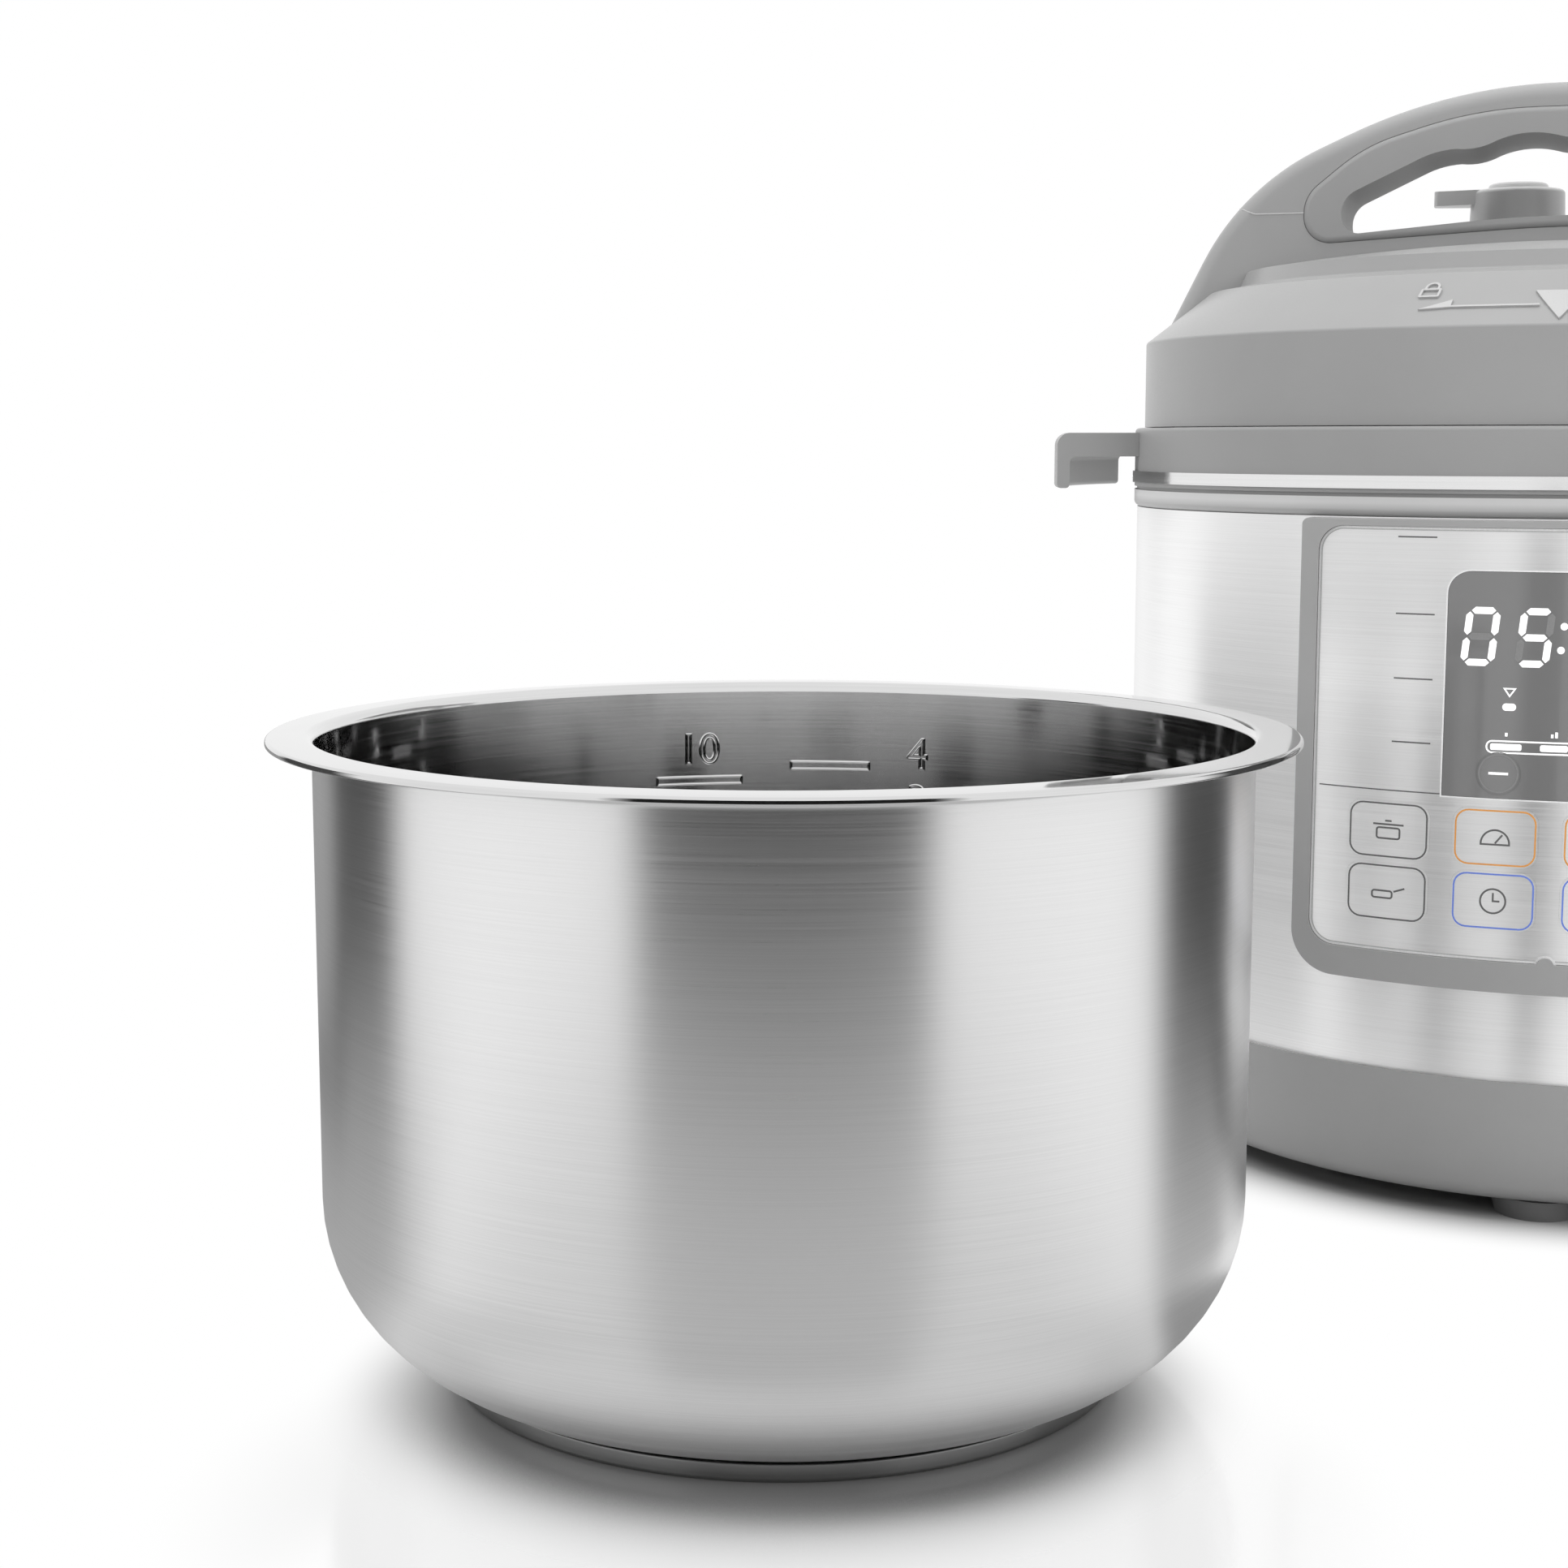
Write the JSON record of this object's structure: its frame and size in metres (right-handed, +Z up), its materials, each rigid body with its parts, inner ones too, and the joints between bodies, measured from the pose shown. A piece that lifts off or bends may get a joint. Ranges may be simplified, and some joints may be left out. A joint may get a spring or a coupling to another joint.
{
  "type": "electric pressure cooker",
  "caption": "Round countertop electric pressure cooker with bayonet lid, arched handle, steam valve, front control panel and a lift-out stainless steel pot standing beside it.",
  "frame": {"origin": "on the floor, on the cooker's upright axis, between its four feet", "axes": "+Z up, the control panel faces -Y, +X to the right of someone who faces the panel"},
  "size_m": [0.458, 0.5645, 0.33],
  "materials": {
    "rubber_foot": "moulded rubber, matt",
    "body_plastic": "fine-grained moulded plastic",
    "lid_plastic": "fine-grained moulded plastic",
    "grip_plastic": "smooth soft-touch moulding",
    "shell_steel": "finely brushed round the body",
    "panel_steel": "finely brushed from side to side, printed",
    "bright_trim": "bright plated ring",
    "plated_sheet": "plated sheet",
    "screw_steel": "plated",
    "chamber_aluminium": "spun",
    "cast_aluminium": "cast and turned",
    "element_steel": "plain drawn tube and wire",
    "fuse_ceramic": "white ceramic body",
    "board": "coated laminate",
    "black_plastic": "moulded",
    "brass_pins": "turned",
    "display_film": "smoked window",
    "key_film": "silver film with printed outline",
    "clear_plastic": "clear moulding",
    "liner_steel": "drawn, satin",
    "silicone": "translucent white silicone",
    "pot_steel": "brushed outside, polished rim and inside"
  },
  "bodies": {
    "base": {"base_pan": "body_plastic", "board_posts": "black_plastic", "bottom_cover": "plated_sheet", "bottom_screws": "screw_steel", "chamber": "chamber_aluminium", "collar": "body_plastic", "control_board": "board", "cup_rail": "body_plastic", "display_module": "black_plastic", "display_window": "display_film", "face_plate": "panel_steel", "feet": "rubber_foot", "heating_element": "element_steel", "heating_plate": "cast_aluminium", "inlet_pins": "brass_pins", "key_switches": "black_plastic", "outer_shell": "shell_steel", "panel_frame": "body_plastic", "panel_posts": "black_plastic", "plate_standoffs": "screw_steel", "power_board": "board", "power_inlet": "black_plastic", "pressure_switch": "element_steel", "relay": "black_plastic", "sensor_bracket": "plated_sheet", "sensor_spring": "element_steel", "side_handle_left": "body_plastic", "side_handle_right": "body_plastic", "thermal_fuse": "fuse_ceramic", "transformer": "black_plastic", "trim_ring": "bright_trim"},
    "seal": {"sealing_ring": "silicone"},
    "lid": {"lid_cover": "lid_plastic", "lid_liner": "liner_steel", "lid_screws": "screw_steel", "gasket_rack": "liner_steel", "exhaust_pipe": "liner_steel", "steam_filter": "black_plastic", "float_guide": "liner_steel", "handle_arch": "lid_plastic", "handle_base": "lid_plastic", "grip_insert": "grip_plastic"},
    "steam_valve": {"steam_knob": "lid_plastic"},
    "float_valve": {"float_pin": "liner_steel", "float_cap": "silicone"},
    "sensor": {"sensor_cup": "cast_aluminium"},
    "cup": {"condensation_cup": "clear_plastic"},
    "pot": {"pot_shell": "pot_steel", "pot_base_core": "cast_aluminium", "pot_base_cap": "pot_steel"},
    "key_upper_1": {"key_upper_1": "key_film"},
    "key_upper_2": {"key_upper_2": "key_film"},
    "key_upper_3": {"key_upper_3": "key_film"},
    "key_upper_4": {"key_upper_4": "key_film"},
    "key_lower_1": {"key_lower_1": "key_film"},
    "key_lower_2": {"key_lower_2": "key_film"},
    "key_lower_3": {"key_lower_3": "key_film"},
    "key_lower_4": {"key_lower_4": "key_film"},
    "key_minus": {"key_minus": "display_film"},
    "key_plus": {"key_plus": "display_film"}
  },
  "joints": [
    {"name": "lid_lift", "type": "slide", "parent": "base", "child": "seal", "axis": [0, 0, 1], "range_m": [0, 0.15]},
    {"name": "lid_turn", "type": "hinge", "parent": "seal", "child": "lid", "pos_m": [0, 0, 0.23], "axis": [0, 0, 1], "range_deg": [-30, 0]},
    {"name": "steam_knob_turn", "type": "hinge", "parent": "lid", "child": "steam_valve", "pos_m": [-0.0186, 0.046, 0.29], "axis": [0, 0, 1], "range_deg": [-60, 0]},
    {"name": "float_rise", "type": "slide", "parent": "lid", "child": "float_valve", "axis": [0, 0, 1], "range_m": [0, 0.004]},
    {"name": "sensor_press", "type": "slide", "parent": "base", "child": "sensor", "axis": [0, 0, -1], "range_m": [0, 0.0025], "stiffness_N_per_m": 400, "springref_m": -0.002, "deforming": ["sensor_spring"]},
    {"name": "cup_slide", "type": "slide", "parent": "base", "child": "cup", "axis": [0, 1, 0], "range_m": [0, 0.06]},
    {"name": "pot_lift", "type": "slide", "parent": "base", "child": "pot", "axis": [0, 0, 1], "range_m": [0, 0.2]},
    {"name": "key_upper_1_press", "type": "slide", "parent": "base", "child": "key_upper_1", "axis": [0, 1, 0], "range_m": [0, 0.0007], "stiffness_N_per_m": 900, "springref_m": -0.0006},
    {"name": "key_upper_2_press", "type": "slide", "parent": "base", "child": "key_upper_2", "axis": [0, 1, 0], "range_m": [0, 0.0007], "stiffness_N_per_m": 900, "springref_m": -0.0006},
    {"name": "key_upper_3_press", "type": "slide", "parent": "base", "child": "key_upper_3", "axis": [0, 1, 0], "range_m": [0, 0.0007], "stiffness_N_per_m": 900, "springref_m": -0.0006},
    {"name": "key_upper_4_press", "type": "slide", "parent": "base", "child": "key_upper_4", "axis": [0, 1, 0], "range_m": [0, 0.0007], "stiffness_N_per_m": 900, "springref_m": -0.0006},
    {"name": "key_lower_1_press", "type": "slide", "parent": "base", "child": "key_lower_1", "axis": [0, 1, 0], "range_m": [0, 0.0007], "stiffness_N_per_m": 900, "springref_m": -0.0006},
    {"name": "key_lower_2_press", "type": "slide", "parent": "base", "child": "key_lower_2", "axis": [0, 1, 0], "range_m": [0, 0.0007], "stiffness_N_per_m": 900, "springref_m": -0.0006},
    {"name": "key_lower_3_press", "type": "slide", "parent": "base", "child": "key_lower_3", "axis": [0, 1, 0], "range_m": [0, 0.0007], "stiffness_N_per_m": 900, "springref_m": -0.0006},
    {"name": "key_lower_4_press", "type": "slide", "parent": "base", "child": "key_lower_4", "axis": [0, 1, 0], "range_m": [0, 0.0007], "stiffness_N_per_m": 900, "springref_m": -0.0006},
    {"name": "key_minus_press", "type": "slide", "parent": "base", "child": "key_minus", "axis": [0, 1, 0], "range_m": [0, 0.0007], "stiffness_N_per_m": 900, "springref_m": -0.0006},
    {"name": "key_plus_press", "type": "slide", "parent": "base", "child": "key_plus", "axis": [0, 1, 0], "range_m": [0, 0.0007], "stiffness_N_per_m": 900, "springref_m": -0.0006}
  ]
}
